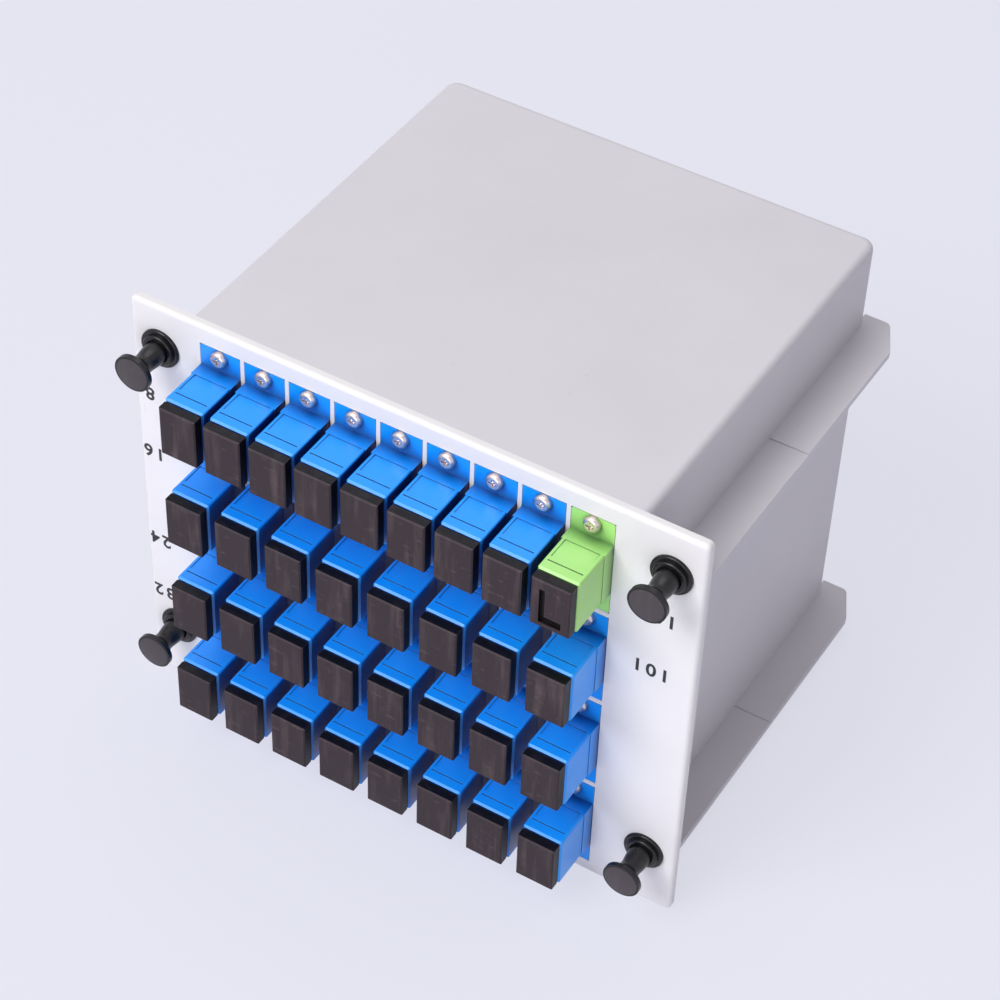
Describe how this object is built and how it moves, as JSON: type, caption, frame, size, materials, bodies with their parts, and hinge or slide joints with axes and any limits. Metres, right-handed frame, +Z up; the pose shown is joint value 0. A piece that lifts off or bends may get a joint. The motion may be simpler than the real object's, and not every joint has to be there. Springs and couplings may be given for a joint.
{
  "type": "fibre splitter cassette",
  "caption": "Rectangular plug-in box with side guide fins and a wide front panel that carries rows of capped simplex adapters and corner push-pull latches.",
  "frame": {"origin": "middle of the bottom edge of the front panel's rear face", "axes": "+X along the panel to the right seen from the front, +Y from the panel to the back of the box, +Z up"},
  "size_m": [0.13, 0.1143, 0.105],
  "materials": {
    "shell_plastic": "fine moulded texture",
    "panel_plastic": "fine moulded texture",
    "blue_plastic": "smooth moulded",
    "green_plastic": "smooth moulded",
    "screw_steel": "bright plated",
    "sleeve_ceramic": "polished",
    "ferrule_ceramic": "polished",
    "boot_rubber": "matte",
    "fibre_jacket": "smooth",
    "module_aluminium": "brushed",
    "pad_foam": "foam",
    "cap_plastic": "satin moulded",
    "latch_plastic": "satin moulded"
  },
  "bodies": {
    "case": {"shell": "shell_plastic", "front_panel": "panel_plastic", "adapters_row_1": "blue_plastic", "adapters_row_2": "blue_plastic", "adapters_row_3": "blue_plastic", "adapters_row_4": "blue_plastic", "input_adapter": "green_plastic", "adapter_screws": "screw_steel", "alignment_sleeves": "sleeve_ceramic", "connector_ferrules": "ferrule_ceramic", "rear_connectors": "blue_plastic", "connector_boots": "boot_rubber", "output_fibres": "fibre_jacket", "input_fibre": "fibre_jacket", "splitter_module": "module_aluminium", "module_pad": "pad_foam", "latch_grommet_1": "latch_plastic", "latch_grommet_2": "latch_plastic", "latch_grommet_3": "latch_plastic", "latch_grommet_4": "latch_plastic"},
    "dust_cap_1_1": {"dust_cap_1_1": "cap_plastic"},
    "dust_cap_1_2": {"dust_cap_1_2": "cap_plastic"},
    "dust_cap_1_3": {"dust_cap_1_3": "cap_plastic"},
    "dust_cap_1_4": {"dust_cap_1_4": "cap_plastic"},
    "dust_cap_1_5": {"dust_cap_1_5": "cap_plastic"},
    "dust_cap_1_6": {"dust_cap_1_6": "cap_plastic"},
    "dust_cap_1_7": {"dust_cap_1_7": "cap_plastic"},
    "dust_cap_1_8": {"dust_cap_1_8": "cap_plastic"},
    "dust_cap_2_1": {"dust_cap_2_1": "cap_plastic"},
    "dust_cap_2_2": {"dust_cap_2_2": "cap_plastic"},
    "dust_cap_2_3": {"dust_cap_2_3": "cap_plastic"},
    "dust_cap_2_4": {"dust_cap_2_4": "cap_plastic"},
    "dust_cap_2_5": {"dust_cap_2_5": "cap_plastic"},
    "dust_cap_2_6": {"dust_cap_2_6": "cap_plastic"},
    "dust_cap_2_7": {"dust_cap_2_7": "cap_plastic"},
    "dust_cap_2_8": {"dust_cap_2_8": "cap_plastic"},
    "dust_cap_3_1": {"dust_cap_3_1": "cap_plastic"},
    "dust_cap_3_2": {"dust_cap_3_2": "cap_plastic"},
    "dust_cap_3_3": {"dust_cap_3_3": "cap_plastic"},
    "dust_cap_3_4": {"dust_cap_3_4": "cap_plastic"},
    "dust_cap_3_5": {"dust_cap_3_5": "cap_plastic"},
    "dust_cap_3_6": {"dust_cap_3_6": "cap_plastic"},
    "dust_cap_3_7": {"dust_cap_3_7": "cap_plastic"},
    "dust_cap_3_8": {"dust_cap_3_8": "cap_plastic"},
    "dust_cap_4_1": {"dust_cap_4_1": "cap_plastic"},
    "dust_cap_4_2": {"dust_cap_4_2": "cap_plastic"},
    "dust_cap_4_3": {"dust_cap_4_3": "cap_plastic"},
    "dust_cap_4_4": {"dust_cap_4_4": "cap_plastic"},
    "dust_cap_4_5": {"dust_cap_4_5": "cap_plastic"},
    "dust_cap_4_6": {"dust_cap_4_6": "cap_plastic"},
    "dust_cap_4_7": {"dust_cap_4_7": "cap_plastic"},
    "dust_cap_4_8": {"dust_cap_4_8": "cap_plastic"},
    "dust_cap_input": {"dust_cap_input": "cap_plastic"},
    "latch_plunger_1": {"latch_plunger_1": "latch_plastic"},
    "latch_plunger_2": {"latch_plunger_2": "latch_plastic"},
    "latch_plunger_3": {"latch_plunger_3": "latch_plastic"},
    "latch_plunger_4": {"latch_plunger_4": "latch_plastic"}
  },
  "joints": [
    {"name": "dust_cap_1_1_pull", "type": "slide", "parent": "case", "child": "dust_cap_1_1", "axis": [0, -1, 0], "range_m": [0, 0.015]},
    {"name": "dust_cap_1_2_pull", "type": "slide", "parent": "case", "child": "dust_cap_1_2", "axis": [0, -1, 0], "range_m": [0, 0.015]},
    {"name": "dust_cap_1_3_pull", "type": "slide", "parent": "case", "child": "dust_cap_1_3", "axis": [0, -1, 0], "range_m": [0, 0.015]},
    {"name": "dust_cap_1_4_pull", "type": "slide", "parent": "case", "child": "dust_cap_1_4", "axis": [0, -1, 0], "range_m": [0, 0.015]},
    {"name": "dust_cap_1_5_pull", "type": "slide", "parent": "case", "child": "dust_cap_1_5", "axis": [0, -1, 0], "range_m": [0, 0.015]},
    {"name": "dust_cap_1_6_pull", "type": "slide", "parent": "case", "child": "dust_cap_1_6", "axis": [0, -1, 0], "range_m": [0, 0.015]},
    {"name": "dust_cap_1_7_pull", "type": "slide", "parent": "case", "child": "dust_cap_1_7", "axis": [0, -1, 0], "range_m": [0, 0.015]},
    {"name": "dust_cap_1_8_pull", "type": "slide", "parent": "case", "child": "dust_cap_1_8", "axis": [0, -1, 0], "range_m": [0, 0.015]},
    {"name": "dust_cap_2_1_pull", "type": "slide", "parent": "case", "child": "dust_cap_2_1", "axis": [0, -1, 0], "range_m": [0, 0.015]},
    {"name": "dust_cap_2_2_pull", "type": "slide", "parent": "case", "child": "dust_cap_2_2", "axis": [0, -1, 0], "range_m": [0, 0.015]},
    {"name": "dust_cap_2_3_pull", "type": "slide", "parent": "case", "child": "dust_cap_2_3", "axis": [0, -1, 0], "range_m": [0, 0.015]},
    {"name": "dust_cap_2_4_pull", "type": "slide", "parent": "case", "child": "dust_cap_2_4", "axis": [0, -1, 0], "range_m": [0, 0.015]},
    {"name": "dust_cap_2_5_pull", "type": "slide", "parent": "case", "child": "dust_cap_2_5", "axis": [0, -1, 0], "range_m": [0, 0.015]},
    {"name": "dust_cap_2_6_pull", "type": "slide", "parent": "case", "child": "dust_cap_2_6", "axis": [0, -1, 0], "range_m": [0, 0.015]},
    {"name": "dust_cap_2_7_pull", "type": "slide", "parent": "case", "child": "dust_cap_2_7", "axis": [0, -1, 0], "range_m": [0, 0.015]},
    {"name": "dust_cap_2_8_pull", "type": "slide", "parent": "case", "child": "dust_cap_2_8", "axis": [0, -1, 0], "range_m": [0, 0.015]},
    {"name": "dust_cap_3_1_pull", "type": "slide", "parent": "case", "child": "dust_cap_3_1", "axis": [0, -1, 0], "range_m": [0, 0.015]},
    {"name": "dust_cap_3_2_pull", "type": "slide", "parent": "case", "child": "dust_cap_3_2", "axis": [0, -1, 0], "range_m": [0, 0.015]},
    {"name": "dust_cap_3_3_pull", "type": "slide", "parent": "case", "child": "dust_cap_3_3", "axis": [0, -1, 0], "range_m": [0, 0.015]},
    {"name": "dust_cap_3_4_pull", "type": "slide", "parent": "case", "child": "dust_cap_3_4", "axis": [0, -1, 0], "range_m": [0, 0.015]},
    {"name": "dust_cap_3_5_pull", "type": "slide", "parent": "case", "child": "dust_cap_3_5", "axis": [0, -1, 0], "range_m": [0, 0.015]},
    {"name": "dust_cap_3_6_pull", "type": "slide", "parent": "case", "child": "dust_cap_3_6", "axis": [0, -1, 0], "range_m": [0, 0.015]},
    {"name": "dust_cap_3_7_pull", "type": "slide", "parent": "case", "child": "dust_cap_3_7", "axis": [0, -1, 0], "range_m": [0, 0.015]},
    {"name": "dust_cap_3_8_pull", "type": "slide", "parent": "case", "child": "dust_cap_3_8", "axis": [0, -1, 0], "range_m": [0, 0.015]},
    {"name": "dust_cap_4_1_pull", "type": "slide", "parent": "case", "child": "dust_cap_4_1", "axis": [0, -1, 0], "range_m": [0, 0.015]},
    {"name": "dust_cap_4_2_pull", "type": "slide", "parent": "case", "child": "dust_cap_4_2", "axis": [0, -1, 0], "range_m": [0, 0.015]},
    {"name": "dust_cap_4_3_pull", "type": "slide", "parent": "case", "child": "dust_cap_4_3", "axis": [0, -1, 0], "range_m": [0, 0.015]},
    {"name": "dust_cap_4_4_pull", "type": "slide", "parent": "case", "child": "dust_cap_4_4", "axis": [0, -1, 0], "range_m": [0, 0.015]},
    {"name": "dust_cap_4_5_pull", "type": "slide", "parent": "case", "child": "dust_cap_4_5", "axis": [0, -1, 0], "range_m": [0, 0.015]},
    {"name": "dust_cap_4_6_pull", "type": "slide", "parent": "case", "child": "dust_cap_4_6", "axis": [0, -1, 0], "range_m": [0, 0.015]},
    {"name": "dust_cap_4_7_pull", "type": "slide", "parent": "case", "child": "dust_cap_4_7", "axis": [0, -1, 0], "range_m": [0, 0.015]},
    {"name": "dust_cap_4_8_pull", "type": "slide", "parent": "case", "child": "dust_cap_4_8", "axis": [0, -1, 0], "range_m": [0, 0.015]},
    {"name": "dust_cap_input_pull", "type": "slide", "parent": "case", "child": "dust_cap_input", "axis": [0, -1, 0], "range_m": [0, 0.015]},
    {"name": "latch_plunger_1_push", "type": "slide", "parent": "case", "child": "latch_plunger_1", "axis": [0, 1, 0], "range_m": [0, 0.0036]},
    {"name": "latch_plunger_2_push", "type": "slide", "parent": "case", "child": "latch_plunger_2", "axis": [0, 1, 0], "range_m": [0, 0.0036]},
    {"name": "latch_plunger_3_push", "type": "slide", "parent": "case", "child": "latch_plunger_3", "axis": [0, 1, 0], "range_m": [0, 0.0036]},
    {"name": "latch_plunger_4_push", "type": "slide", "parent": "case", "child": "latch_plunger_4", "axis": [0, 1, 0], "range_m": [0, 0.0036]}
  ]
}
